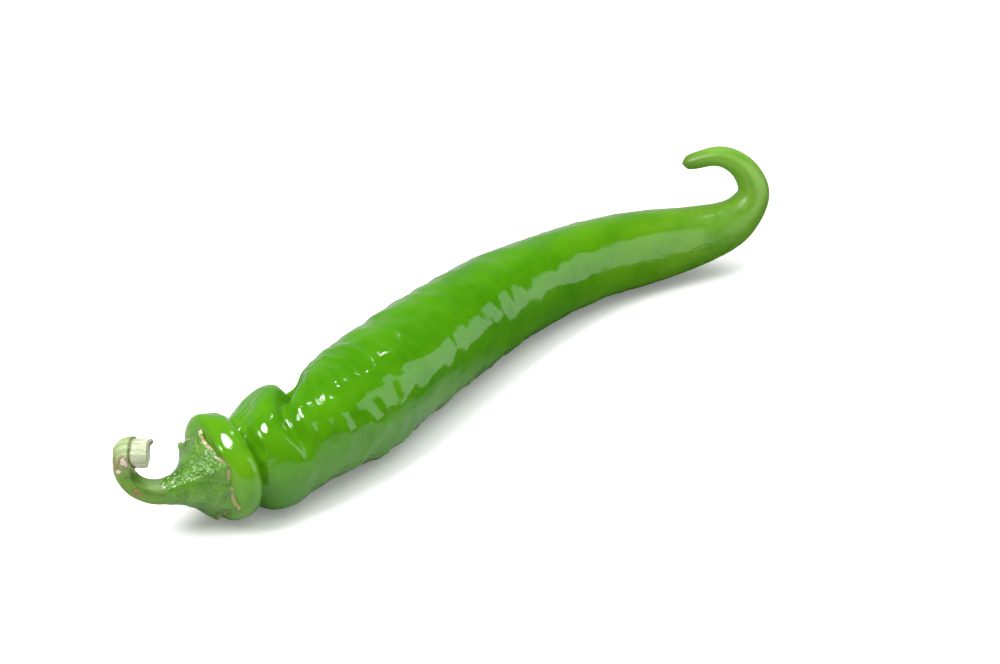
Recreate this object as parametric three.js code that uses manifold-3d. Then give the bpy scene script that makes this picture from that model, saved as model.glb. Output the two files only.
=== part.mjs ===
// A long green chilli pepper as picked: the fruit, the calyx that caps it and the stem, lying on a flat surface.
// Millimetres, +Z up. X runs along the fruit, from the stem (-X) to the tip (+X), and the origin is the middle of
// the footprint, on the surface that the pepper lies on.
import * as THREE from "three";
import Module from "manifold-3d";

const wasm = await Module();
wasm.setup();

// Driving dimensions.
const CLEARANCE = 0.3; // between one piece and the next
const FRUIT_RINGS = 116;
const FRUIT_SIDES = 36;
const STEM_RINGS = 40;
const STEM_SIDES = 20;
const STEM_RIBS = 5;
const RIB_HEIGHT = 0.1;
const NECK = 9.4; // from the seat to where the calyx hands over to the stem
const STEM_END = 29.5; // from the seat to the broken end of the pith
const PITH = 2.9; // how far the pith stands out of the torn skin
const CALYX_SIDES = 48;
const TEETH = 6;
const TOOTH_TURN = 42; // the angle of the first tooth
const TOOTH_REACH = 1.8; // past the calyx's rim
const TOOTH_DROP = 0.9; // where a tooth bends down over the shoulder

// The fruit's centre line, from the calyx's seat to the tip: a slow bend, then a hook that leaves the surface.
const FRUIT_LINE = [
  [-65.5, -3.0, 11.0],
  [-51.5, -4.2, 11.2],
  [-38.5, -4.6, 11.4],
  [-21.5, -2.2, 11.7],
  [-3.5, 1.6, 11.3],
  [15.5, 5.0, 10.6],
  [32.5, 6.2, 9.5],
  [47.5, 5.0, 8.8],
  [59.5, 1.6, 8.3],
  [69.5, -3.2, 8.9],
  [76.0, -8.0, 11.4],
  [80.0, -10.3, 15.2],
  [81.7, -10.5, 19.6],
  [80.3, -8.0, 24.6],
  [77.1, -4.0, 26.9],
  [72.1, 1.2, 25.0],
];

// The stem's centre line, from inside the calyx to the knuckle where it came off the branch.
const STEM_LINE = [
  [-65.5, -3.0, 11.0],
  [-68.6, -2.9, 11.0],
  [-71.9, -2.5, 11.1],
  [-75.0, -1.7, 11.2],
  [-77.8, -0.5, 11.6],
  [-79.9, 0.9, 12.6],
  [-81.3, 2.2, 14.3],
  [-82.0, 2.9, 16.6],
  [-81.8, 2.9, 19.2],
  [-81.1, 1.6, 21.4],
  [-79.9, -0.1, 21.6],
  [-78.9, -1.2, 21.6],
];

// The stem's outline from the neck to the broken end: distance along its centre line, and radius.
const STEM_OUTLINE = [
  [NECK + CLEARANCE, 2.8],
  [12.5, 2.45],
  [16.0, 2.2],
  [19.5, 2.05],
  [STEM_END - 7.6, 2.05],
  [STEM_END - 6.0, 2.35],
  [STEM_END - 4.9, 2.85],
  [STEM_END - PITH - 0.4, 3.1],
  [STEM_END - PITH, 2.95],
  [STEM_END - PITH + 0.2, 2.7],
  [STEM_END - 1.5, 2.75],
  [STEM_END, 2.5],
];

// The calyx's outline from its rim up to the neck.
const CALYX_OUTLINE = [
  [1.8, 8.1],
  [2.7, 7.2],
  [4.6, 5.6],
  [6.6, 4.15],
  [8.2, 3.3],
  [NECK, 2.85],
];

// The fruit's outline: distance along the centre line, and radius.
const FRUIT_OUTLINE = [
  [1.6, 0.0],
  [1.1, 3.0],
  [-0.1, 5.6],
  [-0.8, 7.4],
  [-0.5, 9.0],
  [0.2, 10.3],
  [1.4, 11.0],
  [3.0, 11.0],
  [4.3, 10.5],
  [5.1, 9.5],
  [5.4, 7.9],
  [6.2, 8.2],
  [7.5, 9.5],
  [9.3, 10.7],
  [12.0, 11.1],
  [19.0, 10.9],
  [28.0, 11.3],
  [42.0, 11.7],
  [62.0, 11.35],
  [82.0, 10.6],
  [100.0, 9.5],
  [115.0, 8.85],
  [127.0, 8.3],
  [138.0, 6.9],
  [147.0, 5.4],
  [152.0, 4.3],
  [157.0, 3.5],
  [165.0, 2.6],
  [171.0, 2.05],
  [175.6, 1.6],
  [177.2, 0.0],
];

// Swellings and folds in the wall: distance along, angle round (0 is +Y, 90 up), half-length, half-angle, height.
const FOLDS = [
  [1.0, 56, 2.4, 36, 0.8],
  [1.5, 240, 4.0, 45, -0.7],
  [0.8, 118, 1.2, 24, -0.25],
  [3.4, 118, 1.3, 26, 0.1],
  [5.4, 56, 1.5, 36, 0.5],
  [10.8, 50, 2.4, 32, 0.6],
  [9.9, 118, 1.2, 18, 0.3],
  [7.6, 52, 1.6, 34, -0.6],
  [15.3, 80, 1.8, 17, -3.0],
  [16.9, 61, 2.2, 17, -4.4],
  [19.2, 44, 2.5, 18, -4.8],
  [24.5, 20, 3.0, 20, -4.5],
  [27.3, -2, 3.2, 20, -2.0],
  [14.4, 104, 1.4, 16, -1.5],
  [14.2, 128, 1.2, 16, -1.3],
  [15.2, 147, 1.4, 15, -0.9],
  [17.2, 116, 1.5, 20, 0.6],
  [17.6, 142, 1.5, 18, 0.4],
  [22.4, 160, 1.2, 20, -0.5],
  [21.0, 44, 3.0, 30, 0.3],
  [13.0, 228, 6.0, 40, 1.2],
  [37.0, 228, 8.0, 40, 0.9],
  [22.5, 150, 3.0, 24, 0.35],
  [27.5, 175, 2.4, 26, -0.4],
  [12.0, 318, 5.0, 30, -1.2],
  [33.0, 350, 6.0, 34, -0.8],
];

const rad = THREE.MathUtils.degToRad;
const smoothstep = THREE.MathUtils.smoothstep;
const bell = (x) => Math.exp(-x * x);

// Points, directions across and directions up at even steps of length along a centre line, carried along
// without twist. rail.at(a) gives the place at a millimetres along it, which may lie before its start.
function railAlong(points, type = "catmullrom") {
  const curve = new THREE.CatmullRomCurve3(
    points.map((p) => new THREE.Vector3(...p)),
    false,
    type,
  );
  curve.arcLengthDivisions = 2000;
  const length = curve.getLength();
  const steps = 600;
  const stops = [];
  for (let i = 0; i <= steps; i++) {
    const along = curve.getTangentAt(i / steps);
    const before = i ? stops[i - 1].up : new THREE.Vector3(0, 0, 1);
    const up = before.clone().addScaledVector(along, -before.dot(along)).normalize();
    const across = new THREE.Vector3().crossVectors(up, along);
    stops.push({ point: curve.getPointAt(i / steps), along, up, across });
  }
  const at = (a) => {
    const t = THREE.MathUtils.clamp((a / length) * steps, 0, steps);
    const i = Math.min(Math.floor(t), steps - 1);
    const mix = (key) => stops[i][key].clone().lerp(stops[i + 1][key], t - i);
    const past = a < 0 ? a : Math.max(0, a - length);
    return {
      point: mix("point").addScaledVector(mix("along"), past),
      up: mix("up").normalize(),
      across: mix("across").normalize(),
    };
  };
  return { length, at };
}

// A closed skin through rings of points, with a pole at each end.
function closedSkin(first, rings, last) {
  const sides = rings[0].length;
  const points = [first, ...rings.flat(), last];
  const faces = [];
  const corner = (ring, side) => 1 + ring * sides + (side % sides);
  for (let side = 0; side < sides; side++) {
    faces.push(0, corner(0, side + 1), corner(0, side));
    for (let ring = 0; ring + 1 < rings.length; ring++) {
      const [a, b] = [corner(ring, side), corner(ring, side + 1)];
      const [c, d] = [corner(ring + 1, side), corner(ring + 1, side + 1)];
      faces.push(a, b, c, b, d, c);
    }
    const end = rings.length - 1;
    faces.push(corner(end, side), corner(end, side + 1), points.length - 1);
  }
  const geometry = new THREE.BufferGeometry().setFromPoints(points);
  geometry.setIndex(faces);
  return geometry;
}

// The way round from a direction in degrees, from half a turn back to half a turn on.
function turnFrom(angle, degrees) {
  const turn = angle - rad(degrees);
  return Math.atan2(Math.sin(turn), Math.cos(turn));
}

// How far the wall stands out from its outline at a place along and round the fruit.
function wallLift(a, angle) {
  let lift = 0;
  for (const [along, around, halfLength, halfAngle, height] of FOLDS) {
    lift += height * bell((a - along) / halfLength) * bell(turnFrom(angle, around) / rad(halfAngle));
  }
  return lift;
}

// A section that is slightly three-lobed at the shoulders and has four soft ridges towards the tip.
function sectionShape(a, angle) {
  const shoulders = bell((a - 25) / 45);
  const ridges = bell((a - 122) / 34);
  return (
    1 +
    0.018 * shoulders * Math.cos(3 * angle - rad(140) + a * 0.02) +
    0.022 * ridges * Math.cos(4 * angle - rad(20) - a * 0.012)
  );
}

// The folds past the first ring slant: on the top of the fruit they lie further along it than at the front,
// where the rings' crests lean back towards the stem.
function shoulderSlide(a, r, angle) {
  const growth = 6.3 * smoothstep(a, 3.5, 11) * bell(Math.max(0, a - 18) / 14);
  const lean = 1.4 * bell((a - 0.8) / 2.2) + 1.1 * bell((a - 9) / 2.4);
  const crest = smoothstep(r, 8.2, 10.4) * bell(turnFrom(angle, 118) / 0.5);
  return growth * bell(turnFrom(angle, 55) / rad(38)) - lean * crest;
}

const fruitRail = railAlong(FRUIT_LINE);
const fruitOutline = new THREE.SplineCurve(FRUIT_OUTLINE.map((p) => new THREE.Vector2(...p)));

// The fruit's skin, moved outwards by swell.
function fruitSkin(swell = 0) {
  const place = (t, angle) => {
    const on = fruitOutline.getPoint(t);
    const along = fruitOutline.getTangent(t);
    const a = on.x - along.y * swell;
    const r = on.y + along.x * swell;
    const fade = smoothstep(on.y, 1, 8);
    const radius = r * sectionShape(on.x, angle) + fade * wallLift(on.x, angle);
    const { point, up, across } = fruitRail.at(a + fade * shoulderSlide(on.x, on.y, angle));
    point.addScaledVector(across, radius * Math.cos(angle));
    point.addScaledVector(up, radius * Math.sin(angle));
    point.z = Math.max(point.z, -swell);
    return point;
  };
  const rings = [];
  for (let ring = 1; ring < FRUIT_RINGS; ring++) {
    const row = [];
    for (let side = 0; side < FRUIT_SIDES; side++) {
      row.push(place(ring / FRUIT_RINGS, (2 * Math.PI * side) / FRUIT_SIDES));
    }
    rings.push(row);
  }
  return closedSkin(place(0, 0), rings, place(1, 0));
}

// A piece swept along the stem's centre line: rings of [distance along, radius at an angle], with a pole at each end.
const stemRail = railAlong(STEM_LINE);
function sweptSkin(rings, sides) {
  const row = ([s, radiusAt]) => {
    const { point, up, across } = stemRail.at(s);
    return Array.from({ length: sides }, (_, side) => {
      const angle = (2 * Math.PI * side) / sides;
      const [shift, radius] = radiusAt(angle);
      const on = shift ? stemRail.at(s + shift).point : point;
      return on
        .clone()
        .addScaledVector(across, radius * Math.cos(angle))
        .addScaledVector(up, radius * Math.sin(angle));
    });
  };
  const [first, last] = [rings[0][0], rings.at(-1)[0]];
  return closedSkin(stemRail.at(first).point, rings.map(row), stemRail.at(last).point);
}

// A tooth is a point in the rim: 1 at its tip and 0 midway to the next.
const toothAt = (angle) => Math.pow(Math.abs(Math.cos((TEETH / 2) * (angle - rad(TOOTH_TURN)))), 3);

function calyxSkin() {
  const outline = new THREE.SplineCurve(CALYX_OUTLINE.map((p) => new THREE.Vector2(...p)));
  const ring = (s, r, tooth) => [
    s,
    (angle) => [-TOOTH_DROP * tooth * toothAt(angle), r + TOOTH_REACH * tooth * toothAt(angle)],
  ];
  // The underside sinks into the fruit, which cuts it to shape.
  const rings = [ring(-2.5, 4, 0), ring(-1, 7.4, 0.9), ring(0.6, 8, 1)];
  const steps = 12;
  for (let i = 0; i <= steps; i++) {
    const on = outline.getPoint(i / steps);
    rings.push(ring(on.x, on.y, bell(i / 2.5)));
  }
  return sweptSkin(rings, CALYX_SIDES);
}

function stemSkin() {
  const outline = new THREE.SplineCurve(STEM_OUTLINE.map((p) => new THREE.Vector2(...p)));
  const rings = [];
  for (let i = 0; i <= STEM_RINGS; i++) {
    const on = outline.getPoint(i / STEM_RINGS);
    rings.push([on.x, (angle) => [0, on.y + RIB_HEIGHT * Math.cos(STEM_RIBS * angle)]]);
  }
  return sweptSkin(rings, STEM_SIDES);
}

function toSolid(geometry) {
  const vertProperties = geometry.attributes.position.array;
  const triVerts = Uint32Array.from(geometry.index.array);
  return new wasm.Manifold(new wasm.Mesh({ numProp: 3, vertProperties, triVerts }));
}

function toGeometry(solid) {
  const { vertProperties, triVerts } = solid.getMesh();
  const geometry = new THREE.BufferGeometry();
  geometry.setAttribute("position", new THREE.BufferAttribute(vertProperties, 3));
  geometry.setIndex(new THREE.BufferAttribute(triVerts, 1));
  return geometry;
}

const group = new THREE.Group();
function addPiece(name, geometry, color, roughness) {
  const mesh = new THREE.Mesh(geometry, new THREE.MeshStandardMaterial({ color, roughness, metalness: 0 }));
  mesh.name = name;
  group.add(mesh);
}

const calyx = toSolid(calyxSkin()).subtract(toSolid(fruitSkin(CLEARANCE)));
addPiece("fruit", fruitSkin(), 0x4f9c0a, 0.2);
addPiece("calyx", toGeometry(calyx), 0x659a38, 0.4);
addPiece("stem", stemSkin(), 0x6e9448, 0.5);

export default group;
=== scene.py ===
"""A long green chilli pepper lying on its side: the fruit with its folded shoulders and curled tip, the
toothed calyx and the hooked stem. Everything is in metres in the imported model's frame: +X runs from the stem
to the tip. The shapes are written in millimetres and turned into metres when a mesh is made."""
import math

import bpy
import numpy as np
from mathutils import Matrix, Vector


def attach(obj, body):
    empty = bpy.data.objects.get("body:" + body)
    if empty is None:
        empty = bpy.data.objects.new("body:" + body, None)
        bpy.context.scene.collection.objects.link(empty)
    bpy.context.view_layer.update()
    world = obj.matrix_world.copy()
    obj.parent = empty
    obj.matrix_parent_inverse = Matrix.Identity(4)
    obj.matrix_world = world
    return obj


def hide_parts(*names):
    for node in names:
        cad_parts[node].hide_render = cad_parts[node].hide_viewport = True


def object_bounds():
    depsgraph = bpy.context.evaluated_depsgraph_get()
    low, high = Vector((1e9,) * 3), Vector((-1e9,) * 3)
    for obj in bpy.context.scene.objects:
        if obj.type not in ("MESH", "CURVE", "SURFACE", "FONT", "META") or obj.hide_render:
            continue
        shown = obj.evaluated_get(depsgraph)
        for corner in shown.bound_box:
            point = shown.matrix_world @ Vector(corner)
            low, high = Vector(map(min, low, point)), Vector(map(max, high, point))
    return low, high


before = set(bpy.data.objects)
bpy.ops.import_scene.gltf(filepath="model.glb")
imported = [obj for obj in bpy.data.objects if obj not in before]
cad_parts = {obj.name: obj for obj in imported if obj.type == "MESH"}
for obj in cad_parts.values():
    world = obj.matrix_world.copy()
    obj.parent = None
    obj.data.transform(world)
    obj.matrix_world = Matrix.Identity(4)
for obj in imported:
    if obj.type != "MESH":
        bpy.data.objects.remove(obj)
CAD_LO, CAD_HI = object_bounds()
MM = 0.001

# ---------------------------------------------------------------- the pepper's sizes, in millimetres

# The fruit's centre line, from the calyx's seat to the tip: a slow bend, then a hook off the surface.
FRUIT_LINE = [
    (-65.5, -3.0, 11.0),
    (-51.5, -4.2, 11.2),
    (-38.5, -4.6, 11.4),
    (-21.5, -2.2, 11.7),
    (-3.5, 1.6, 11.3),
    (15.5, 5.0, 10.6),
    (32.5, 6.2, 9.5),
    (47.5, 5.0, 8.8),
    (59.5, 1.6, 8.3),
    (69.5, -3.2, 8.9),
    (76.0, -8.0, 11.4),
    (80.0, -10.3, 15.2),
    (81.7, -10.5, 19.6),
    (80.3, -8.0, 24.6),
    (77.1, -4.0, 26.9),
    (72.1, 1.2, 25.0),
]

# The stem's centre line, from inside the calyx to the knuckle where it came off the branch.
STEM_LINE = [
    (-65.5, -3.0, 11.0),
    (-68.6, -2.9, 11.0),
    (-71.9, -2.5, 11.1),
    (-75.0, -1.7, 11.2),
    (-77.8, -0.5, 11.6),
    (-79.9, 0.9, 12.6),
    (-81.3, 2.2, 14.3),
    (-82.0, 2.9, 16.6),
    (-81.8, 2.9, 19.2),
    (-81.1, 1.6, 21.4),
    (-79.9, -0.1, 21.6),
    (-78.9, -1.2, 21.6),
]

# The fruit's outline: distance along the centre line, and radius.
FRUIT_OUTLINE = [
    (1.6, 0.0),
    (1.1, 3.0),
    (-0.1, 5.6),
    (-0.8, 7.4),
    (-0.5, 9.0),
    (0.2, 10.3),
    (1.4, 11.0),
    (3.0, 11.0),
    (4.3, 10.5),
    (5.1, 9.5),
    (5.4, 7.9),
    (6.2, 8.2),
    (7.5, 9.5),
    (9.3, 10.7),
    (12.0, 11.1),
    (19.0, 10.9),
    (28.0, 11.3),
    (42.0, 11.7),
    (62.0, 11.35),
    (82.0, 10.6),
    (100.0, 9.5),
    (115.0, 8.85),
    (127.0, 8.3),
    (138.0, 6.9),
    (147.0, 5.4),
    (152.0, 4.3),
    (157.0, 3.5),
    (165.0, 2.6),
    (171.0, 2.05),
    (175.6, 1.6),
    (177.2, 0.0),
]

# Swellings and folds in the wall: distance along, angle round in degrees (0 is +Y, 90 is up), half-length,
# half-angle in degrees, and height.
FOLDS = [
    (1.0, 56, 2.4, 36, 0.8),
    (1.5, 240, 4.0, 45, -0.7),
    (0.8, 118, 1.2, 24, -0.25),
    (3.4, 118, 1.3, 26, 0.1),
    (5.4, 56, 1.5, 36, 0.5),
    (10.8, 50, 2.4, 32, 0.6),
    (9.9, 118, 1.2, 18, 0.3),
    (7.6, 52, 1.6, 34, -0.6),
    (15.3, 80, 1.8, 17, -3.0),
    (16.9, 61, 2.2, 17, -4.4),
    (19.2, 44, 2.5, 18, -4.8),
    (24.5, 20, 3.0, 20, -4.5),
    (27.3, -2, 3.2, 20, -2.0),
    (14.4, 104, 1.4, 16, -1.5),
    (14.2, 128, 1.2, 16, -1.3),
    (15.2, 147, 1.4, 15, -0.9),
    (17.2, 116, 1.5, 20, 0.6),
    (17.6, 142, 1.5, 18, 0.4),
    (22.4, 160, 1.2, 20, -0.5),
    (21.0, 44, 3.0, 30, 0.3),
    (13.0, 228, 6.0, 40, 1.2),
    (37.0, 228, 8.0, 40, 0.9),
    (22.5, 150, 3.0, 24, 0.35),
    (27.5, 175, 2.4, 26, -0.4),
    (12.0, 318, 5.0, 30, -1.2),
    (33.0, 350, 6.0, 34, -0.8),
]

# The crease behind the first ring gathers into small pleats, which show most at two angles.
PLEATS_AT = 6.2
PLEATS_ROUND = 23
PLEAT_HEIGHT = 0.22
PLEATS_TOP, PLEATS_FRONT = 66, 150


# ---------------------------------------------------------------- curves


def bell(x):
    return np.exp(-x * x)


def smoothstep(x, low, high):
    t = np.clip((x - low) / (high - low), 0, 1)
    return t * t * (3 - 2 * t)


def lengths(vectors):
    return np.linalg.norm(vectors, axis=-1, keepdims=True)


def spline(points, t):
    """A smooth curve through every point (uniform Catmull-Rom) and its direction, for t from 0 to 1."""
    p = np.array(points, float)
    p = np.vstack([2 * p[0] - p[1], p, 2 * p[-1] - p[-2]])
    spans = len(p) - 3
    at = np.clip(np.asarray(t, float) * spans, 0, spans)
    i = np.minimum(at.astype(int), spans - 1)
    x = (at - i)[..., None]
    a, b, c, d = p[i], p[i + 1], p[i + 2], p[i + 3]
    v0, v1 = (c - a) / 2, (d - b) / 2
    place = (2 * b - 2 * c + v0 + v1) * x**3 + (-3 * b + 3 * c - 2 * v0 - v1) * x**2 + v0 * x + b
    way = 3 * (2 * b - 2 * c + v0 + v1) * x**2 + 2 * (-3 * b + 3 * c - 2 * v0 - v1) * x + v0
    return place, way / np.maximum(lengths(way), 1e-9)


class Rail:
    """A centre line with directions across and up that are carried along it without twist."""

    STOPS = 601
    FINE_STEPS = 4001

    def __init__(self, points):
        fine_t = np.linspace(0, 1, self.FINE_STEPS)
        fine, _ = spline(points, fine_t)
        run = np.concatenate([[0], np.cumsum(np.linalg.norm(np.diff(fine, axis=0), axis=1))])
        self.length = run[-1]
        self.steps = np.linspace(0, self.length, self.STOPS)
        self.point, self.along = spline(points, np.interp(self.steps, run, fine_t))
        self.up = np.zeros_like(self.point)
        up = np.array([0.0, 0.0, 1.0])
        for i, along in enumerate(self.along):
            up = up - along * up.dot(along)
            up /= np.linalg.norm(up)
            self.up[i] = up
        self.across = np.cross(self.up, self.along)

    def _mix(self, rows, a):
        return np.stack([np.interp(a, self.steps, rows[:, k]) for k in range(3)], axis=-1)

    def at(self, a):
        """Place, direction across and direction up at a distance along, which may lie past either end."""
        a = np.asarray(a, float)
        past = np.where(a < 0, a, np.maximum(0, a - self.length))
        place = self._mix(self.point, a) + self._mix(self.along, a) * past[..., None]
        across, up = self._mix(self.across, a), self._mix(self.up, a)
        return place, across / lengths(across), up / lengths(up)

    def around(self, a, radius, angle):
        """The place at a radius and an angle round the line: 0 is across, a quarter turn is up."""
        place, across, up = self.at(a)
        place = place + across * (radius * np.cos(angle))[..., None]
        return place + up * (radius * np.sin(angle))[..., None]


FRUIT_RAIL = Rail(FRUIT_LINE)
STEM_RAIL = Rail(STEM_LINE)

# ---------------------------------------------------------------- meshes


def closed_loft(name, first, rings, last):
    """A closed skin through an array of rings, with a pole at each end."""
    count, sides = rings.shape[:2]
    verts = np.vstack([first[None], rings.reshape(-1, 3), last[None]]) * MM
    side = np.arange(sides)
    after = (side + 1) % sides
    faces = []
    for ring in range(count - 1):
        low, high = 1 + ring * sides, 1 + (ring + 1) * sides
        faces += np.stack([low + side, low + after, high + after, high + side], axis=1).tolist()
    end = 1 + (count - 1) * sides
    faces += [[0, int(1 + b), int(1 + a)] for a, b in zip(side, after)]
    faces += [[int(end + a), int(end + b), len(verts) - 1] for a, b in zip(side, after)]
    mesh = bpy.data.meshes.new(name)
    mesh.from_pydata(verts.tolist(), [], faces)
    mesh.shade_smooth()
    return mesh


def keep_vectors(mesh, name, rows, first=(0, 0, 0), last=(0, 0, 0)):
    """Stores a vector for each point of a loft, which the relief and the materials follow."""
    layer = mesh.attributes.new(name, "FLOAT_VECTOR", "POINT")
    rows = np.vstack([first, np.reshape(rows, (-1, 3)), last])
    layer.data.foreach_set("vector", rows.astype(np.float32).ravel())


def keep_numbers(mesh, name, row, poles=0.0):
    """Stores a number for each point of a loft."""
    layer = mesh.attributes.new(name, "FLOAT", "POINT")
    row = np.concatenate([[poles], np.ravel(row), [poles]])
    layer.data.foreach_set("value", row.astype(np.float32))


def add_object(name, data):
    obj = bpy.data.objects.new(name, data)
    bpy.context.scene.collection.objects.link(obj)
    return obj


# ---------------------------------------------------------------- node trees


def add_node(tree, kind, inputs=(), **settings):
    """A node with its settings, and with inputs given as {socket name or number: value or socket}."""
    node = tree.nodes.new(kind)
    for key, value in settings.items():
        setattr(node, key, value)
    for key, value in dict(inputs).items():
        if isinstance(value, bpy.types.NodeSocket):
            tree.links.new(value, node.inputs[key])
        else:
            node.inputs[key].default_value = value
    return node


def maths(tree, operation, a, b=0.0, c=0.0):
    return add_node(tree, "ShaderNodeMath", {0: a, 1: b, 2: c}, operation=operation).outputs[0]


def vector_maths(tree, operation, a, b=(0, 0, 0)):
    return add_node(tree, "ShaderNodeVectorMath", {0: a, 1: b}, operation=operation).outputs[0]


def scaled(tree, vector, scale):
    return add_node(tree, "ShaderNodeVectorMath", {0: vector, "Scale": scale}, operation="SCALE").outputs[0]


def combined(tree, x, y, z):
    return add_node(tree, "ShaderNodeCombineXYZ", {0: x, 1: y, 2: z}).outputs[0]


def split(tree, vector):
    return add_node(tree, "ShaderNodeSeparateXYZ", {0: vector}).outputs


def map_range(tree, value, low, high, to_low=0.0, to_high=1.0, kind="LINEAR"):
    """A value carried from one range to another and held at its ends. Low may be above high."""
    inputs = {0: value, 1: low, 2: high, 3: to_low, 4: to_high}
    return add_node(tree, "ShaderNodeMapRange", inputs, interpolation_type=kind).outputs[0]


def noise_at(tree, place, scale=1.0, detail=2.0):
    """Smooth noise, mostly between 0.3 and 0.7."""
    inputs = {"Vector": place, "Scale": scale, "Detail": detail}
    return add_node(tree, "ShaderNodeTexNoise", inputs).outputs[0]


def new_group(name, kind, inputs, outputs):
    """A node group with its sockets: inputs as name: (kind, value), outputs as name: kind."""
    group = bpy.data.node_groups.new(name, kind)
    for label, (socket, value) in inputs.items():
        item = group.interface.new_socket(name=label, in_out="INPUT", socket_type="NodeSocket" + socket)
        if value is not None:
            item.default_value = value
    for label, socket in outputs.items():
        group.interface.new_socket(name=label, in_out="OUTPUT", socket_type="NodeSocket" + socket)
    return group, group.nodes.new("NodeGroupInput").outputs, group.nodes.new("NodeGroupOutput").inputs


def stored(group, geometry, name, value, kind="FLOAT"):
    """Geometry with a value kept at each point."""
    inputs = {"Geometry": geometry, "Name": name, "Value": value}
    node = add_node(group, "GeometryNodeStoreNamedAttribute", inputs, data_type=kind, domain="POINT")
    return node.outputs[0]


def kept(group, name, kind="FLOAT"):
    """The value kept at each point under a name."""
    return add_node(group, "GeometryNodeInputNamedAttribute", {0: name}, data_type=kind).outputs[0]


def put(group, geometry, place):
    return add_node(group, "GeometryNodeSetPosition", {"Geometry": geometry, "Position": place}).outputs[0]


def pushed(group, geometry, millimetres):
    """Geometry moved out along its normals."""
    normal = add_node(group, "GeometryNodeInputNormal").outputs[0]
    push = scaled(group, normal, maths(group, "MULTIPLY", millimetres, MM))
    return add_node(group, "GeometryNodeSetPosition", {"Geometry": geometry, "Offset": push}).outputs[0]


def end_group(group, geometry, skin, result):
    """Ends a geometry node group in plain faces that wear a material."""
    solid = add_node(group, "GeometryNodeRealizeInstances", {0: geometry}).outputs[0]
    painted = add_node(group, "GeometryNodeSetMaterial", {"Geometry": solid, "Material": skin}).outputs[0]
    group.links.new(painted, result["Geometry"])
    return group


def run_geometry_nodes(obj, group, values):
    """Runs a geometry node group on an object and returns the result as a plain mesh."""
    modifier = obj.modifiers.new("shape", "NODES")
    modifier.node_group = group
    names = {i.name: i.identifier for i in group.interface.items_tree if i.in_out == "INPUT"}
    for label, value in values.items():
        modifier[names[label]] = value
    settled = obj.evaluated_get(bpy.context.evaluated_depsgraph_get())
    mesh = bpy.data.meshes.new_from_object(settled)
    obj.modifiers.remove(modifier)
    mesh.shade_smooth()
    return mesh


def grain_at(group, place, size, height, detail, seed):
    """Noise in millimetres of height, stretched to a size and moved to its own place by a seed."""
    place = vector_maths(group, "DIVIDE", place, size)
    place = vector_maths(group, "ADD", place, combined(group, seed, seed, seed))
    wave = maths(group, "SUBTRACT", noise_at(group, place, detail=detail), 0.5)
    return maths(group, "MULTIPLY", wave, maths(group, "MULTIPLY", height, 3.0))


def relief_group():
    """Pushes a skin in and out along its normals: lumps, crosswise ripples, dimples and fine wrinkles, each
    where the skin's own mask allows it. The patterns follow the chart attribute, which is in millimetres."""
    group, given, result = new_group(
        "skin_relief",
        "GeometryNodeTree",
        {
            "Geometry": ("Geometry", None),
            "Lump Height": ("Float", 0.3),
            "Lump Size": ("Vector", (8, 9, 9)),
            "Ripple Height": ("Float", 0.1),
            "Ripple Size": ("Vector", (5, 18, 18)),
            "Dimple Height": ("Float", 0.05),
            "Dimple Size": ("Vector", (2, 2, 2)),
            "Wrinkle Height": ("Float", 0.05),
            "Wrinkle Length": ("Float", 1.2),
            "Seed": ("Float", 0.0),
            "Skin": ("Material", None),
        },
        {"Geometry": "Geometry"},
    )
    chart = kept(group, "chart", "FLOAT_VECTOR")
    masks = split(group, kept(group, "masks", "FLOAT_VECTOR"))

    # Each kind of noise has its detail, and a shift from the piece's seed.
    kinds = (("Lump", 1.0, 0.0), ("Ripple", 2.0, 17.3), ("Dimple", 2.0, 31.7))
    total = 0.0
    for mask, (kind, detail, shift) in zip(masks, kinds):
        seed = maths(group, "ADD", given["Seed"], shift)
        wave = grain_at(group, chart, given[kind + " Size"], given[kind + " Height"], detail, seed)
        total = maths(group, "ADD", maths(group, "MULTIPLY", wave, mask), total)

    # Wrinkles are waves across the fruit, bent by slow noise.
    bend = noise_at(group, vector_maths(group, "DIVIDE", chart, (9, 5, 5)), scale=5.0)
    phase = maths(group, "MULTIPLY", split(group, chart)[0], 2 * math.pi)
    phase = maths(group, "DIVIDE", phase, given["Wrinkle Length"])
    wave = maths(group, "SINE", maths(group, "ADD", phase, maths(group, "MULTIPLY", bend, 22.0)))
    wave = maths(group, "MULTIPLY", wave, given["Wrinkle Height"])
    wave = maths(group, "MULTIPLY", wave, kept(group, "wrinkle_mask"))
    moved = pushed(group, given["Geometry"], maths(group, "ADD", total, wave))

    # The surface that the pepper lies on presses its skin flat.
    x, y, z = split(group, add_node(group, "GeometryNodeInputPosition").outputs[0])
    moved = put(group, moved, combined(group, x, y, maths(group, "MAXIMUM", z, 0.0)))
    return end_group(group, moved, given["Skin"], result)


# ---------------------------------------------------------------- the fruit

FRUIT_RINGS, FRUIT_SIDES = 440, 208
CHART_RADIUS = 11.0  # the radius at which the fruit's chart is wrapped
CHART_END = 177.0  # about where the chart ends, at the tip
TOP_TURN, CREST_TURN, LOW_TURN = 55, 118, 215  # where the folds slide most, crests lean and wrinkles lie

# Where each kind of relief grows in and fades out along the fruit.
TIP_FADE = (130, 160)
RIPPLES_GROW, RIPPLES_FADE = (12, 30), (112, 135)
DIMPLES_GROW, DIMPLES_FADE = (9, 20), (45, 75)


def turn_from(angle, degrees):
    """The shorter way round from a direction, in radians."""
    turn = angle - math.radians(degrees)
    return np.arctan2(np.sin(turn), np.cos(turn))


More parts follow.
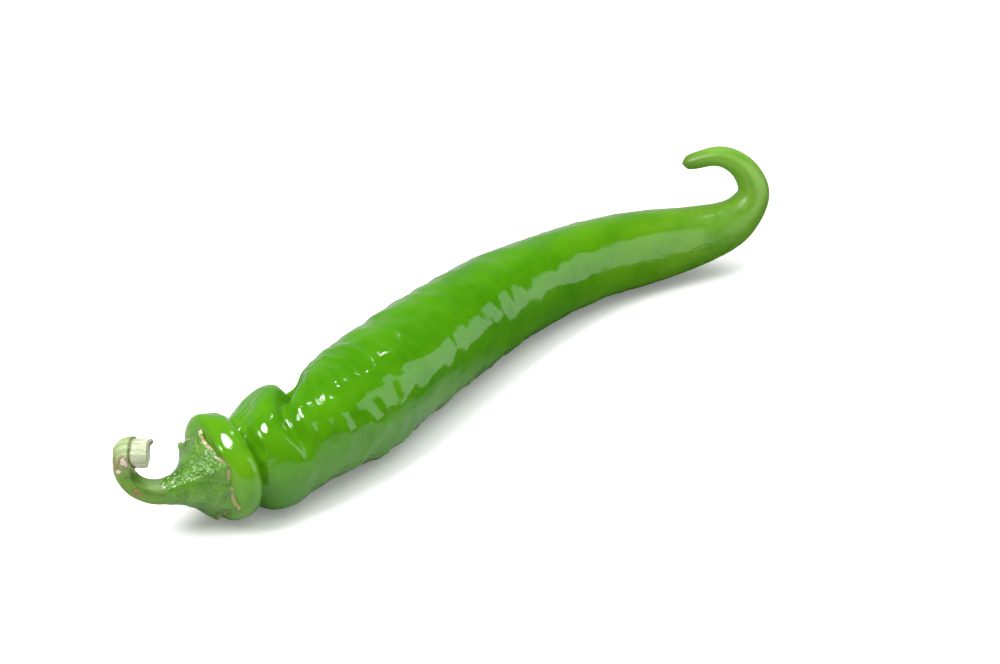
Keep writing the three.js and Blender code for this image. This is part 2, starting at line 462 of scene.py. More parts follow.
def wall_lift(a, angle):
    """How far the swellings, folds and pleats move the wall out."""
    lift = 0.0
    for along, around, half_length, half_angle, height in FOLDS:
        beside = turn_from(angle, around) / math.radians(half_angle)
        lift = lift + height * bell((a - along) / half_length) * bell(beside)
    pleats = PLEAT_HEIGHT * np.sin(PLEATS_ROUND * angle + 0.6 * a) * bell((a - PLEATS_AT) / 2.0)
    top = bell((angle - math.radians(PLEATS_TOP)) / 0.55)
    front = bell((angle - math.radians(PLEATS_FRONT)) / 0.4)
    return lift + pleats * (top + 0.5 * front)


def section_shape(a, angle):
    """Slightly three-lobed at the shoulders, with four soft ridges towards the tip."""
    shoulders, ridges = bell((a - 25) / 45), bell((a - 122) / 34)
    lobes = 0.018 * shoulders * np.cos(3 * angle - math.radians(140) + a * 0.02)
    return 1 + lobes + 0.022 * ridges * np.cos(4 * angle - math.radians(20) - a * 0.012)


def shoulder_slide(a, r, angle):
    """The folds past the first ring slant: on the top of the fruit they lie further along it than at the
    front, where the rings' crests lean back towards the stem."""
    growth = 6.3 * smoothstep(a, 3.5, 11) * bell(np.maximum(0, a - 18) / 14)
    lean = 1.4 * bell((a - 0.8) / 2.2) + 1.1 * bell((a - 9.0) / 2.4)
    crest = smoothstep(r, 8.2, 10.4) * bell(turn_from(angle, CREST_TURN) / 0.5)
    return growth * bell(turn_from(angle, TOP_TURN) / math.radians(38)) - lean * crest


def fruit_place(t, angle):
    on, _ = spline(FRUIT_OUTLINE, t)
    a, r = on[..., 0], on[..., 1]
    fade = smoothstep(r, 1, 8)
    radius = r * section_shape(a, angle) + fade * wall_lift(a, angle)
    place = FRUIT_RAIL.around(a + fade * shoulder_slide(a, r, angle), radius, angle)
    place[..., 2] = np.maximum(place[..., 2], 0)
    return place, a, r


def fruit_mesh():
    # The outline's points are closest together at the shoulders, and so are the rings.
    t = np.linspace(0, 1, FRUIT_RINGS + 2)[1:-1]
    angle = np.linspace(0, 2 * np.pi, FRUIT_SIDES, endpoint=False)
    t, angle = np.meshgrid(t, angle, indexing="ij")
    rings, a, r = fruit_place(t, angle)
    first, _, _ = fruit_place(np.array([0.0]), np.array([0.0]))
    last, _, _ = fruit_place(np.array([1.0]), np.array([0.0]))
    mesh = closed_loft("fruit_skin", first[0], rings, last[0])
    chart = np.stack([a, CHART_RADIUS * np.cos(angle), CHART_RADIUS * np.sin(angle)], axis=-1)
    keep_vectors(mesh, "chart", chart, (FRUIT_OUTLINE[0][0], 0, 0), (FRUIT_RAIL.length, 0, 0))

    # Where each kind of relief shows: lumps and dimples most on the half near the stem, ripples along the
    # body, and fine wrinkles low on the -Y side. The seat under the calyx and the tip stay smooth.
    outside = smoothstep(r, 6, 10)
    open_end = 1 - smoothstep(a, *TIP_FADE)
    lumps = outside * (0.35 + 0.75 * bell((a - 40) / 30)) * open_end
    body = smoothstep(a, *RIPPLES_GROW) * (1 - smoothstep(a, *RIPPLES_FADE))
    ripples = body * (0.4 + 0.9 * bell((a - 56) / 28))
    behind_rings = smoothstep(a, *DIMPLES_GROW) * (1 - smoothstep(a, *DIMPLES_FADE))
    dimples = outside * (0.2 + 0.8 * behind_rings) * open_end
    low_side = bell(turn_from(angle, LOW_TURN) / 0.9)
    wrinkles = low_side * bell((a - 137) / 13) + 0.3 * low_side * bell((a - 60) / 40)
    keep_vectors(mesh, "masks", np.stack([lumps, ripples, dimples], axis=-1))
    keep_numbers(mesh, "wrinkle_mask", wrinkles)
    return mesh


# ---------------------------------------------------------------- the calyx

NECK = 9.4  # from the seat to where the calyx hands over to the stem
TEETH = 6
TOOTH_TURN = 42  # the angle of the first tooth, in degrees
TOOTH_REACH = 0.8  # how far a tooth's point stands out of the rim
CALYX_RIM = 8.0  # the rim's radius midway between two teeth
CALYX_SKIN = 0.34  # the rim's thickness
CALYX_SIDES = 288
UNDER_ROWS, EDGE_ROWS, OUTER_ROWS = 24, 5, 90
SEAT_POINTS = 7  # how many of the fruit's outline points are on the side that faces the stem
SEAT_GAP = 0.06  # between the calyx's underside and the fruit
RIM_LIFT = 0.25  # how much further than that the underside stands off at the rim
RIM_STARTS = 0.93  # where the underside starts to lift, as a part of the way out
RIM_STANDOFF = 0.3  # between the fruit and the rim's edge
VEIN_HEIGHT = 0.16
INLAND = 9.0  # a distance from the rim that is out of reach of its dry edge

# The calyx's outline from its rim up to the neck: distance along the stem's centre line, and radius.
CALYX_OUTLINE = [
    (1.8, 8.1),
    (2.7, 7.2),
    (4.6, 5.6),
    (6.6, 4.15),
    (8.2, 3.3),
    (NECK, 2.9),
    (NECK + 2.2, 2.42),
    (NECK + 3.0, 2.2),
]


def rim_reach(angle):
    """The rim's radius: straight from tooth to tooth, with a short point at each tooth."""
    step = math.radians(360 / TEETH)
    off = np.mod(angle - math.radians(TOOTH_TURN), step)
    from_tooth = np.minimum(off, step - off)
    straight = CALYX_RIM / np.cos(step / 2 - from_tooth)
    uneven = 0.12 * np.sin(3 * angle + 1)
    return straight + TOOTH_REACH * np.exp(-from_tooth / 0.06) + uneven + 0.1 * np.sin(11 * angle)


def seat_depth(r):
    """How far the fruit's shoulder lies along its centre line at a radius from it, on the side that faces
    the stem."""
    fine, _ = spline(FRUIT_OUTLINE[:SEAT_POINTS], np.linspace(0, 1, 200))
    return np.interp(r, fine[:, 1], fine[:, 0])


def calyx_mesh():
    angle = np.linspace(0, 2 * np.pi, CALYX_SIDES, endpoint=False)
    reach = rim_reach(angle)
    vein = np.cos((angle - math.radians(TOOTH_TURN)) * TEETH) * 0.5 + 0.5
    rows, charts = [], []

    def add_row(s, r):
        s, r = s + 0 * angle, r + 0 * angle
        rows.append(STEM_RAIL.around(s, r, angle))
        charts.append(np.stack([s, r, angle], axis=-1))

    # Under the rim, close to the fruit's shoulder, from the middle outwards.
    for q in np.linspace(0.15, 1.0, UNDER_ROWS):
        r = reach * q
        lift = RIM_LIFT * max(0.0, (q - RIM_STARTS) / (1 - RIM_STARTS))
        add_row(-seat_depth(r) + SEAT_GAP + lift, r)
    # The rim's rounded edge.
    for turn in np.linspace(-60, 60, EDGE_ROWS):
        lift = math.sin(math.radians(turn)) * CALYX_SKIN / 2
        out = math.cos(math.radians(turn)) * CALYX_SKIN / 2
        add_row(-seat_depth(reach) + RIM_STANDOFF + CALYX_SKIN / 2 + lift, reach + out - 0.1)
    # The outside, from the rim to the neck.
    rim_radius = CALYX_OUTLINE[0][1]
    outline, _ = spline(CALYX_OUTLINE, np.linspace(0, 1, OUTER_ROWS))
    for s, r in outline[1:]:
        near_rim = smoothstep(r, 5.0, rim_radius)
        radius = r * (1 + near_rim * (reach / rim_radius - 1))
        ribbed = smoothstep(s, 1.6, 3.2) * (1 - smoothstep(s, 7.5, 11.0))
        radius = radius + VEIN_HEIGHT * (vein**6 - 0.25) * ribbed
        drop = near_rim * (seat_depth(reach) - seat_depth(rim_radius)) * 0.85
        add_row(s - drop, radius)
    first, _, _ = STEM_RAIL.at(np.array([-seat_depth(0.0)]))
    last, _, _ = STEM_RAIL.at(np.array([CALYX_OUTLINE[-1][0] + 0.2]))
    mesh = closed_loft("calyx_skin", first[0], np.array(rows), last[0])

    s, r, turn = np.array(charts).reshape(-1, 3).T
    chart = np.stack([s, r * np.cos(turn), r * np.sin(turn)], axis=-1)
    keep_vectors(mesh, "chart", chart, last=(12, 0, 0))
    outer = np.repeat(np.arange(len(rows)) >= UNDER_ROWS, CALYX_SIDES)
    from_rim = np.where(outer, np.tile(reach, len(rows)) - r, INLAND)
    keep_numbers(mesh, "from_rim", from_rim, poles=INLAND)
    # The outside has relief, and the underside and the neck have none.
    shown = outer * (1 - smoothstep(s, 9.5, 11.5))
    keep_vectors(mesh, "masks", np.stack([shown] * 3, axis=-1))
    keep_numbers(mesh, "wrinkle_mask", np.zeros_like(s))
    return mesh


# ---------------------------------------------------------------- the stem

STEM_END = STEM_RAIL.length
PITH = 2.9  # how far the pale pith stands out of the torn skin at the end
STEM_SIDES = 96
STEM_RIBS = 5.0
STALK_WRAP = 2.4  # the radius at which the stem's chart is wrapped

# The stem's outline from inside the calyx to its broken end: distance along its centre line, and radius.
STEM_OUTLINE = [
    (NECK - 1.5, 2.3),
    (NECK + 0.3, 2.5),
    (12.5, 2.42),
    (16.0, 2.2),
    (19.5, 2.05),
    (STEM_END - 7.6, 2.05),
    (STEM_END - 6.0, 2.35),
    (STEM_END - 4.9, 2.85),
    (STEM_END - PITH - 0.4, 3.1),
    (STEM_END - PITH - 0.1, 3.05),
    (STEM_END - PITH + 0.05, 2.75),
    (STEM_END - PITH + 0.4, 2.65),
    (STEM_END - 1.5, 2.75),
    (STEM_END - 0.3, 2.65),
    (STEM_END - 0.08, 2.4),
    (STEM_END - 0.03, 1.2),
    (STEM_END, 0.05),
]
STALK_RUN = STEM_END - STEM_OUTLINE[0][0]  # the stalk's whole length, with what the calyx hides


def sweep_group():
    """A stalk: a ribbed section swept along a curve, with its skin roughened and a torn corner at its end.
    For the material it keeps how far along each point is, the curve's radius there, and where the corner is."""
    group, given, result = new_group(
        "stalk_sweep",
        "GeometryNodeTree",
        {
            "Geometry": ("Geometry", None),
            "Sides": ("Int", 64),
            "Ribs": ("Float", 5.0),
            "Rib Height": ("Float", 0.06),
            "Grain Height": ("Float", 0.05),
            "Grain Size": ("Vector", (5, 0.5, 0.5)),
            "Tear Height": ("Float", 1.0),
            "Tear Turn": ("Float", 0.0),
            "Tear Start": ("Float", 20.0),
            "Seed": ("Float", 0.0),
            "Skin": ("Material", None),
        },
        {"Geometry": "Geometry"},
    )
    run = add_node(group, "GeometryNodeSplineParameter").outputs["Length"]
    radius = add_node(group, "GeometryNodeInputRadius").outputs[0]
    rail = stored(group, given["Geometry"], "run", maths(group, "DIVIDE", run, MM))
    rail = stored(group, rail, "girth", maths(group, "DIVIDE", radius, MM))

    # The ribbed section.
    circle = {"Resolution": given["Sides"], "Radius": 1.0}
    ring = add_node(group, "GeometryNodeCurvePrimitiveCircle", circle).outputs[0]
    place = add_node(group, "GeometryNodeInputPosition").outputs[0]
    x, y, _ = split(group, place)
    turn = maths(group, "ARCTAN2", y, x)
    ring = stored(group, ring, "turn", turn)
    rib = maths(group, "COSINE", maths(group, "MULTIPLY", turn, given["Ribs"]))
    rib = maths(group, "MULTIPLY_ADD", rib, given["Rib Height"], 1.0)
    ring = put(group, ring, scaled(group, place, rib))

    sweep = {"Curve": rail, "Profile Curve": ring, "Scale": radius, "Fill Caps": True}
    stalk = add_node(group, "GeometryNodeCurveToMesh", sweep).outputs[0]
    run, turn = kept(group, "run"), kept(group, "turn")
    wrap_across = maths(group, "MULTIPLY", maths(group, "COSINE", turn), STALK_WRAP)
    wrap_up = maths(group, "MULTIPLY", maths(group, "SINE", turn), STALK_WRAP)
    chart = combined(group, run, wrap_across, wrap_up)
    stalk = stored(group, stalk, "chart", chart, "FLOAT_VECTOR")
    grain = grain_at(group, chart, given["Grain Size"], given["Grain Height"], 2.0, given["Seed"])

    # A torn corner of skin and pith stands out at one side of the end.
    off = maths(group, "COSINE", maths(group, "SUBTRACT", turn, given["Tear Turn"]))
    sharp = maths(group, "POWER", maths(group, "MAXIMUM", off, 0.0), 40.0)
    late = map_range(group, maths(group, "SUBTRACT", run, given["Tear Start"]), 0.0, 0.5, kind="SMOOTHSTEP")
    tear = maths(group, "MULTIPLY", sharp, late)
    stalk = stored(group, stalk, "tear", tear)
    outer = map_range(group, kept(group, "girth"), 1.6, 2.3)
    tear = maths(group, "MULTIPLY", maths(group, "MULTIPLY", tear, given["Tear Height"]), outer)
    stalk = pushed(group, stalk, maths(group, "ADD", grain, tear))
    return end_group(group, stalk, given["Skin"], result)


def stem_curve():
    """The stem's centre line as a curve that carries its radius."""
    outline, _ = spline(STEM_OUTLINE, np.linspace(0, 1, 220))
    # Where the outline turns back on itself, its points are left out, because a sweep only goes forwards.
    outline = outline[np.concatenate([[True], np.diff(np.maximum.accumulate(outline[:, 0])) > 1e-4])]
    points, _, _ = STEM_RAIL.at(outline[:, 0])
    curve = bpy.data.curves.new("stem_line", "CURVE")
    curve.dimensions = "3D"
    line = curve.splines.new("POLY")
    line.points.add(len(points) - 1)
    for point, place, radius in zip(line.points, points * MM, outline[:, 1] * MM):
        point.co = (*place, 1)
        point.radius = radius
    return curve


# ---------------------------------------------------------------- materials


def new_material(name):
    material = bpy.data.materials.new(name)
    material.use_nodes = True
    return material, material.node_tree, material.node_tree.nodes["Principled BSDF"]


def mottle_group():
    """Soft patches and finer flecks that a plant skin's colour follows."""
    group, given, result = new_group(
        "mottle",
        "ShaderNodeTree",
        {
            "Chart": ("Vector", (0, 0, 0)),
            "Patch Size": ("Vector", (9, 9, 9)),
            "Fleck Size": ("Vector", (1.5, 1, 1)),
        },
        {"Patches": "Float", "Flecks": "Float"},
    )
    for label, size, detail in (("Patches", "Patch Size", 3.0), ("Flecks", "Fleck Size", 4.0)):
        noise = noise_at(group, vector_maths(group, "DIVIDE", given["Chart"], given[size]), detail=detail)
        group.links.new(map_range(group, noise, 0.3, 0.7, kind="SMOOTHSTEP"), result[label])
    return group


def scar_group():
    """A healed scar at a place on the skin: the patch itself and the dark line round it."""
    group, given, result = new_group(
        "scar",
        "ShaderNodeTree",
        {"Place": ("Vector", (0, 0, 0)), "Centre": ("Vector", (0, 0, 0)), "Size": ("Vector", (1, 1, 1))},
        {"Patch": "Float", "Line": "Float"},
    )
    ragged = noise_at(group, given["Place"], scale=1400.0)
    place = vector_maths(group, "DIVIDE", given["Place"], (MM, MM, MM))
    off = vector_maths(group, "SUBTRACT", place, given["Centre"])
    off = vector_maths(group, "DIVIDE", off, given["Size"])
    far = add_node(group, "ShaderNodeVectorMath", {0: off}, operation="LENGTH").outputs["Value"]
    far = maths(group, "MULTIPLY_ADD", ragged, 1.6, maths(group, "SUBTRACT", far, 0.8))
    group.links.new(map_range(group, far, 1.0, 0.8), result["Patch"])
    group.links.new(map_range(group, far, 1.45, 1.1), result["Line"])
    return group


MOTTLE = mottle_group()
SCAR = scar_group()


def place_group(tree, group, inputs):
    return add_node(tree, "ShaderNodeGroup", inputs, node_tree=group).outputs


def mottled(tree, chart, patch, fleck):
    """The patches and flecks of a skin, at their sizes in millimetres."""
    outputs = place_group(tree, MOTTLE, {"Chart": chart, "Patch Size": patch, "Fleck Size": fleck})
    return outputs["Patches"], outputs["Flecks"]


def attribute(tree, name, output="Vector"):
    return add_node(tree, "ShaderNodeAttribute", attribute_name=name).outputs[output]


def blend_colors(tree, factor, a, b, how="MIX"):
    """Two colours mixed; each is a socket or a tuple of red, green and blue."""
    a, b = ((*color, 1) if isinstance(color, tuple) else color for color in (a, b))
    node = add_node(tree, "ShaderNodeMix", {0: factor, 6: a, 7: b}, data_type="RGBA", blend_type=how)
    return node.outputs[2]


def blend_numbers(tree, factor, a, b):
    return add_node(tree, "ShaderNodeMix", {0: factor, 2: a, 3: b}, data_type="FLOAT").outputs[0]


def ramp(tree, value, stops):
    """A colour for each place along a scale: stops as (place from 0 to 1, colour)."""
    node = add_node(tree, "ShaderNodeValToRGB", {0: value})
    marks = node.color_ramp.elements
    while len(marks) < len(stops):
        marks.new(0.5)
    for mark, (place, color) in zip(marks, stops):
        mark.position = place
        mark.color = (*color, 1)
    return node.outputs[0]


def finish_skin(tree, skin, chart, color, rough, glow, pore_scale, pore_detail, strength, depth):
    """Links a skin's colour and roughness, lets a little light into it, and roughens it with pores that are
    depth millimetres deep."""
    tree.links.new(color, skin.inputs["Base Color"])
    tree.links.new(rough, skin.inputs["Roughness"])
    skin.inputs["Subsurface Weight"].default_value = 0.08
    skin.inputs["Subsurface Radius"].default_value = glow
    skin.inputs["Subsurface Scale"].default_value = MM
    pores = noise_at(tree, chart, pore_scale, pore_detail)
    bump = add_node(tree, "ShaderNodeBump", {"Height": pores, "Strength": strength, "Distance": depth * MM})
    tree.links.new(bump.outputs[0], skin.inputs["Normal"])


# The fruit's green along its length: place from the calyx, 0, to the tip, 1, and colour.
FRUIT_GREENS = [
    (0.00, (0.105, 0.330, 0.006)),
    (0.04, (0.070, 0.275, 0.003)),
    (0.12, (0.060, 0.255, 0.002)),
    (0.30, (0.055, 0.245, 0.002)),
    (0.55, (0.060, 0.250, 0.002)),
    (0.70, (0.080, 0.265, 0.004)),
    (0.85, (0.115, 0.315, 0.012)),
    (0.96, (0.150, 0.370, 0.028)),
    (1.00, (0.090, 0.220, 0.010)),
]
LIGHTER, DARKER = (1.30, 1.12, 1.2), (0.80, 0.88, 0.8)  # what a patch multiplies the green by
CORK = (0.36, 0.30, 0.12)


def fruit_material():
    material, tree, skin = new_material("pepper_skin")
    chart = attribute(tree, "chart")
    along = maths(tree, "DIVIDE", split(tree, chart)[0], CHART_END)
    green = ramp(tree, along, FRUIT_GREENS)
    patches, flecks = mottled(tree, chart, (13, 8, 8), (1.8, 6, 6))
    light = blend_colors(tree, 1.0, green, LIGHTER, "MULTIPLY")
    dark = blend_colors(tree, 1.0, green, DARKER, "MULTIPLY")
    color = blend_colors(tree, patches, dark, light)
    # Lighter crosswise flecks: partly the skin's own mottle, partly painted shade and light that stand for its
    # soft crosswise corrugation.
    color = blend_colors(tree, maths(tree, "MULTIPLY", flecks, 0.45), color, light)
    # Towards the tip the skin has a few corky specks and is duller.
    near_tip = map_range(tree, along, 0.70, 0.84)
    cork = map_range(tree, noise_at(tree, chart, 0.9), 0.68, 0.74, to_high=0.6)
    color = blend_colors(tree, maths(tree, "MULTIPLY", cork, near_tip), color, CORK)
    rough = map_range(tree, flecks, 0.0, 1.0, 0.07, 0.15)
    rough = maths(tree, "MULTIPLY_ADD", near_tip, 0.22, rough)
    skin.inputs["IOR"].default_value = 1.45
    pores = {"pore_scale": 1.8, "pore_detail": 3.0, "strength": 0.06, "depth": 0.3}
    finish_skin(tree, skin, chart, color, rough, glow=(0.6, 1.0, 0.1), **pores)
    return material


CALYX_GREENS = (0.048, 0.175, 0.004), (0.105, 0.285, 0.016)
CALYX_FLECK = (0.20, 0.40, 0.07)
DRY_EDGE = (0.50, 0.36, 0.20)


def calyx_material():
    material, tree, skin = new_material("calyx_green")
    chart = attribute(tree, "chart")
    patches, flecks = mottled(tree, chart, (3, 3, 3), (1.0, 0.4, 0.4))
    green = blend_colors(tree, patches, *CALYX_GREENS)
    green = blend_colors(tree, maths(tree, "MULTIPLY", flecks, 0.35), green, CALYX_FLECK)
    # The rim is dry, and its dry edge comes and goes.
    edge = map_range(tree, attribute(tree, "from_rim", "Fac"), 0.14, 0.02)
    broken = map_range(tree, noise_at(tree, chart, 0.7, 3.0), 0.40, 0.52)
    color = blend_colors(tree, maths(tree, "MULTIPLY", edge, broken), green, DRY_EDGE)
    rough = map_range(tree, flecks, 0.0, 1.0, 0.10, 0.24)
    pores = {"pore_scale": 1.1, "pore_detail": 2.0, "strength": 1.0, "depth": 0.5}
    finish_skin(tree, skin, chart, color, rough, glow=(0.6, 1.0, 0.2), **pores)
    return material


STEM_GREENS = (0.060, 0.165, 0.010), (0.130, 0.270, 0.028)
STEM_FLECK = (0.24, 0.42, 0.07)
KNUCKLE_GREEN = (0.33, 0.42, 0.14)
# A pale green for streaks next to the torn skin: partly the tissue's own colour, partly a painted sheen.
PALE_GREEN_AND_SHEEN = (0.55, 0.66, 0.42)
STEM_SPECK = (0.17, 0.13, 0.04)
SCAR_LINE = (0.20, 0.12, 0.035)
PITH_COLORS = (0.24, 0.31, 0.11), (0.70, 0.72, 0.60)
PITH_RIM = (0.50, 0.54, 0.34)
TORN_LINE = (0.10, 0.12, 0.02)
TORN_CORNER = (0.07, 0.03, 0.015)
PALE_SCAR, BROWN_SCAR = (0.78, 0.62, 0.56), (0.36, 0.21, 0.10)

# Scars on the stem: place and half-size, in millimetres, and colour.
STEM_SCARS = [
    ((-83.7, 0.3, 21.0), (0.8, 0.8, 1.35), PALE_SCAR),
    ((-84.0, 2.6, 19.9), (0.5, 0.5, 1.3), BROWN_SCAR),
    ((-83.9, 2.1, 18.0), (0.5, 0.5, 0.45), PALE_SCAR),
    ((-80.2, 1.7, 16.8), (0.7, 0.7, 0.5), PALE_SCAR),
    ((-81.9, -0.1, 13.7), (0.35, 0.4, 0.5), BROWN_SCAR),
    ((-81.4, -0.6, 12.8), (0.8, 0.6, 0.22), BROWN_SCAR),
]


def stem_material():
    material, tree, skin = new_material("stem_green")
    chart = attribute(tree, "chart")
    run, girth = attribute(tree, "run", "Fac"), attribute(tree, "girth", "Fac")
    torn_at = STALK_RUN - PITH

    patches, flecks = mottled(tree, chart, (4, 3, 3), (5, 0.45, 0.45))
    green = blend_colors(tree, patches, *STEM_GREENS)
    green = blend_colors(tree, maths(tree, "MULTIPLY", flecks, 0.5), green, STEM_FLECK)
    # The swollen end is paler than the rest, and next to the torn skin it is paler still, in streaks that are
    # partly its pale tissue and partly a painted sheen.
    pale = map_range(tree, run, STALK_RUN - 9.2, STALK_RUN - 7.6)
    green = blend_colors(tree, maths(tree, "MULTIPLY", pale, 0.7), green, KNUCKLE_GREEN)
    pale_and_sheen = maths(tree, "MULTIPLY", map_range(tree, run, torn_at - 2.2, torn_at - 0.8), flecks)
    green = blend_colors(tree, maths(tree, "MULTIPLY", pale_and_sheen, 0.7), green, PALE_GREEN_AND_SHEEN)
    specks = map_range(tree, noise_at(tree, chart, 1.9, 3.0), 0.66, 0.72, to_high=0.7)
    color = blend_colors(tree, specks, green, STEM_SPECK)

    place = add_node(tree, "ShaderNodeTexCoord").outputs["Object"]
    for centre, size, healed in STEM_SCARS:
        scar = place_group(tree, SCAR, {"Place": place, "Centre": centre, "Size": size})
        color = blend_colors(tree, maths(tree, "MULTIPLY", scar["Line"], 0.8), color, SCAR_LINE)
        color = blend_colors(tree, scar["Patch"], color, healed)

    # The pith: pale and stringy, with a dark line where the skin was torn off round it.
    strings = noise_at(tree, vector_maths(tree, "DIVIDE", chart, (2.5, 0.4, 0.4)), detail=4.0)
    pith = blend_colors(tree, map_range(tree, strings, 0.35, 0.65), *PITH_COLORS)
    pith = blend_colors(tree, map_range(tree, girth, 1.9, 2.35, to_high=0.5), pith, PITH_RIM)
    line = maths(tree, "MULTIPLY", map_range(tree, run, torn_at - 0.25, torn_at), 0.8)
    color = blend_colors(tree, line, color, TORN_LINE)
    color = blend_colors(tree, map_range(tree, run, torn_at + 0.1, torn_at + 0.3), color, pith)
    tear = map_range(tree, attribute(tree, "tear", "Fac"), 0.3, 0.6)
    color = blend_colors(tree, tear, color, TORN_CORNER)

    rough = map_range(tree, patches, 0.0, 1.0, 0.36, 0.5)
    skin.inputs["Specular IOR Level"].default_value = 0.3
    pores = {"pore_scale": 3.0, "pore_detail": 4.0, "strength": 0.5, "depth": 0.25}
    finish_skin(tree, skin, chart, color, rough, glow=(0.6, 1.0, 0.2), **pores)
    return material


# ---------------------------------------------------------------- the pieces

RELIEF = relief_group()

FRUIT_RELIEF = {
    "Lump Height": 0.36,
    "Lump Size": (3.6, 6.5, 6.5),
    "Ripple Height": 0.42,
    "Ripple Size": (2.9, 8.5, 8.5),
    "Dimple Height": 0.10,
    "Dimple Size": (1.4, 1.6, 1.6),
    "Wrinkle Height": 0.07,
    "Wrinkle Length": 1.3,
    "Seed": 3.0,
}
CALYX_RELIEF = {
    "Lump Height": 0.12,
    "Lump Size": (2.2, 1.8, 1.8),
    "Ripple Height": 0.0,
    "Dimple Height": 0.035,
    "Dimple Size": (0.8, 0.5, 0.5),
    "Wrinkle Height": 0.0,
    "Seed": 8.0,
}
STEM_SWEEP = {
    "Sides": STEM_SIDES,
    "Ribs": STEM_RIBS,
    "Rib Height": 0.045,
    "Grain Height": 0.09,
    "Grain Size": (6.0, 0.6, 0.6),
    "Tear Height": 0.9,
    "Tear Turn": 0.1,
    "Tear Start": STALK_RUN - 0.4,
    "Seed": 0.0,
}


def make_piece(name, data, group, values, skin, node):
    """Runs a mesh or a curve through a geometry node group, and puts the result in its CAD node's place."""
    draft = add_object("draft", data)
    mesh = run_geometry_nodes(draft, group, {**values, "Skin": skin})
    bpy.data.objects.remove(draft)
    piece = add_object(name, mesh)
    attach(piece, "root")
    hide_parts(node)


make_piece("pepper_fruit", fruit_mesh(), RELIEF, FRUIT_RELIEF, fruit_material(), "fruit")
make_piece("pepper_calyx", calyx_mesh(), RELIEF, CALYX_RELIEF, calyx_material(), "calyx")
make_piece("pepper_stem", stem_curve(), sweep_group(), STEM_SWEEP, stem_material(), "stem")

# ---------------------------------------------------------------- the studio

WALL_LIGHT = 0.35
AIR_LIGHT = 0.7
FLOOR_HALF = 3.0
FLOOR_TO_CAMERA, FLOOR_GLOW, FLOOR_TO_PEPPER = 0.95, 0.15, 0.55
FLOOR_REFLECTED_NEAR_STEM, FLOOR_REFLECTED_NEAR_TIP, FLOOR_REFLECTED_BEHIND = 0.70, 0.03, 0.35
LENGTH = CAD_HI[0] - CAD_LO[0]
MIDDLE = Vector(((CAD_LO[0] + CAD_HI[0]) / 2, (CAD_LO[1] + CAD_HI[1]) / 2, CAD_LO[2]))


def spot(along, across, up):
    """A place in the studio, in lengths of the pepper from the middle of its footprint."""
    return MIDDLE + Vector((along, across, up)) * LENGTH


def grey(value):
    return (value, value, value)


def make_floor():
    low, high = -FLOOR_HALF, FLOOR_HALF
    mesh = bpy.data.meshes.new("studio_floor")
    mesh.from_pydata([(low, low, 0), (high, low, 0), (high, high, 0), (low, high, 0)], [], [(0, 1, 2, 3)])
    floor = add_object("studio_floor", mesh)
    material, tree, paint = new_material("floor_white")
    # The pepper's reflections see a dim floor in front of it, and it sends up less light than it shows.
    path = add_node(tree, "ShaderNodeLightPath").outputs
    along, behind, _ = split(tree, add_node(tree, "ShaderNodeTexCoord").outputs["Object"])
    along = map_range(tree, along, -0.01, 0.02)
    behind = map_range(tree, behind, -0.01, 0.03)
    front = blend_colors(tree, along, grey(FLOOR_REFLECTED_NEAR_STEM), grey(FLOOR_REFLECTED_NEAR_TIP))
    shiny = blend_colors(tree, behind, front, grey(FLOOR_REFLECTED_BEHIND))
    color = blend_colors(tree, path["Is Diffuse Ray"], grey(FLOOR_TO_CAMERA), grey(FLOOR_TO_PEPPER))
    color = blend_colors(tree, path["Is Glossy Ray"], color, shiny)
    glow = blend_colors(tree, path["Is Camera Ray"], grey(0.0), grey(FLOOR_GLOW))
    tree.links.new(color, paint.inputs["Base Color"])
    tree.links.new(glow, paint.inputs["Emission Color"])
    paint.inputs["Emission Strength"].default_value = 1.0
    paint.inputs["Roughness"].default_value = 0.8
    paint.inputs["Specular IOR Level"].default_value = 0.0
    floor.data.materials.append(material)


def make_world():
    world = bpy.data.worlds.new("studio_air")
    world.use_nodes = True
    tree = world.node_tree
    # Reflections see a dark ceiling over pale walls at the back. The camera sees white, and everything else
    # is lit by even light that is weaker from the stem's side.
    way = add_node(tree, "ShaderNodeTexCoord").outputs["Generated"]
    side, back, height = split(tree, way)
    wall = map_range(tree, height, 0.2, 0.8, WALL_LIGHT, 0.0)
    wall = maths(tree, "MULTIPLY", wall, map_range(tree, back, -0.2, 0.5))
    air = map_range(tree, side, -0.9, 0.5, 0.4 * AIR_LIGHT, 1.2 * AIR_LIGHT)
    path = add_node(tree, "ShaderNodeLightPath").outputs
    other = blend_numbers(tree, path["Is Camera Ray"], air, 1.0)
    strength = blend_numbers(tree, path["Is Glossy Ray"], other, wall)
    tree.links.new(strength, tree.nodes["Background"].inputs["Strength"])
    tree.nodes["Background"].inputs["Color"].default_value = (1, 1, 1, 1)
    bpy.context.scene.world = world


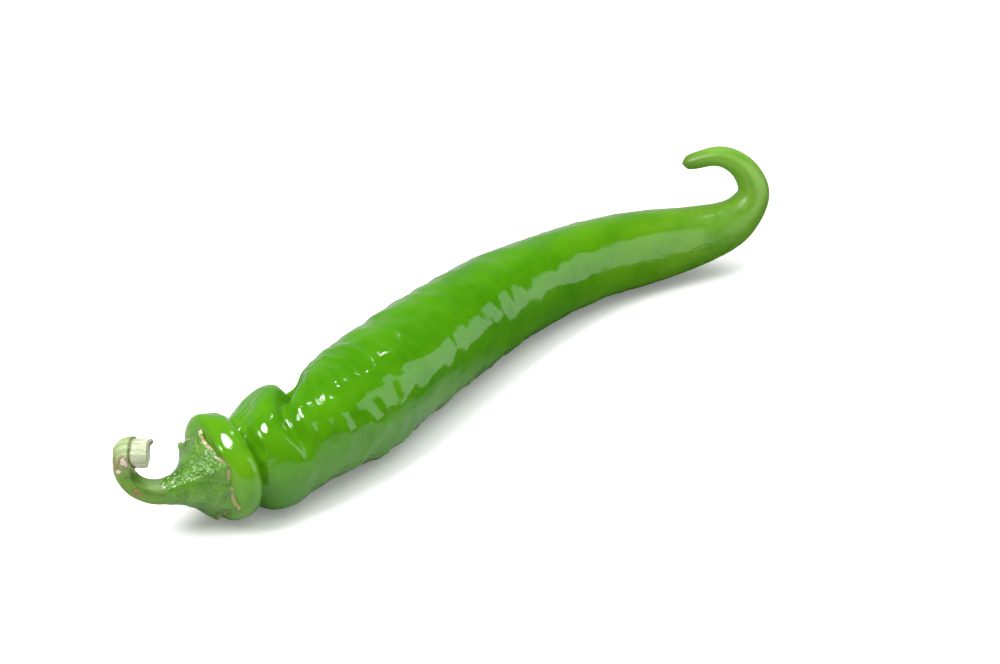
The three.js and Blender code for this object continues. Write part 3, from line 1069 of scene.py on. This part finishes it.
def aim_at(obj, place, away):
    """Puts a lamp or the camera at a place, with its back to a direction."""
    obj.location = place
    obj.rotation_mode = "QUATERNION"
    obj.rotation_quaternion = Vector(away).to_track_quat("Z", "Y")


def add_lamp(name, shape, place, away, sizes, power):
    light = bpy.data.lights.new(name, "AREA")
    light.shape = shape
    light.size, light.size_y = sizes
    light.energy = power
    lamp = add_object(name, light)
    aim_at(lamp, place, away)
    return lamp


def add_softbox(name, aim, way, distance, size, power, glossy=True):
    """A round lamp that shines on a place from a direction."""
    way = Vector(way).normalized()
    lamp = add_lamp(name, "DISK", aim + way * distance, way, (size, size), power)
    lamp.visible_glossy = glossy


def add_reflection(name, shape, place, away, sizes, power):
    """A lamp that only reflections show."""
    lamp = add_lamp(name, shape, place, away, sizes, power)
    lamp.visible_camera = lamp.visible_diffuse = False


def make_camera():
    data = bpy.data.cameras.new("view")
    data.lens = 100
    data.sensor_width = 36
    data.clip_start, data.clip_end = 0.01, 20
    camera = add_object("view", data)
    place = spot(-1.9298, -2.1199, 1.938)
    aim_at(camera, place, place - spot(0.1244, 0.0448, 0.0))
    bpy.context.scene.camera = camera


make_floor()
make_world()
neck, shoulder = spot(-0.4159, -0.0004, 0.1181), spot(-0.3923, -0.0441, 0.1234)
body = spot(-0.2683, -0.0004, 0.1181)
above = spot(-0.3415, -0.0346, 0.5903)
beyond_tip = spot(0.8119, -0.5907, 0.3601)
add_softbox("highlight_box", body, way=(0.577, 0.115, 0.81), distance=0.25, size=0.020, power=0.04)
add_reflection("shoulder_box", "DISK", above, away=above - shoulder, sizes=(0.044, 0.044), power=0.15)
add_reflection("front_card", "RECTANGLE", beyond_tip, away=(0, -1, 0), sizes=(0.204, 0.120), power=0.165)
add_softbox("side_box", neck, way=(-0.60, 0.10, 0.80), distance=0.5, size=0.2, power=1.6)
add_softbox("ceiling_box", MIDDLE, way=(0.1, 0.05, 1.0), distance=1.2, size=1.8, power=15.0, glossy=False)
make_camera()
bpy.context.scene.view_settings.view_transform = "Standard"
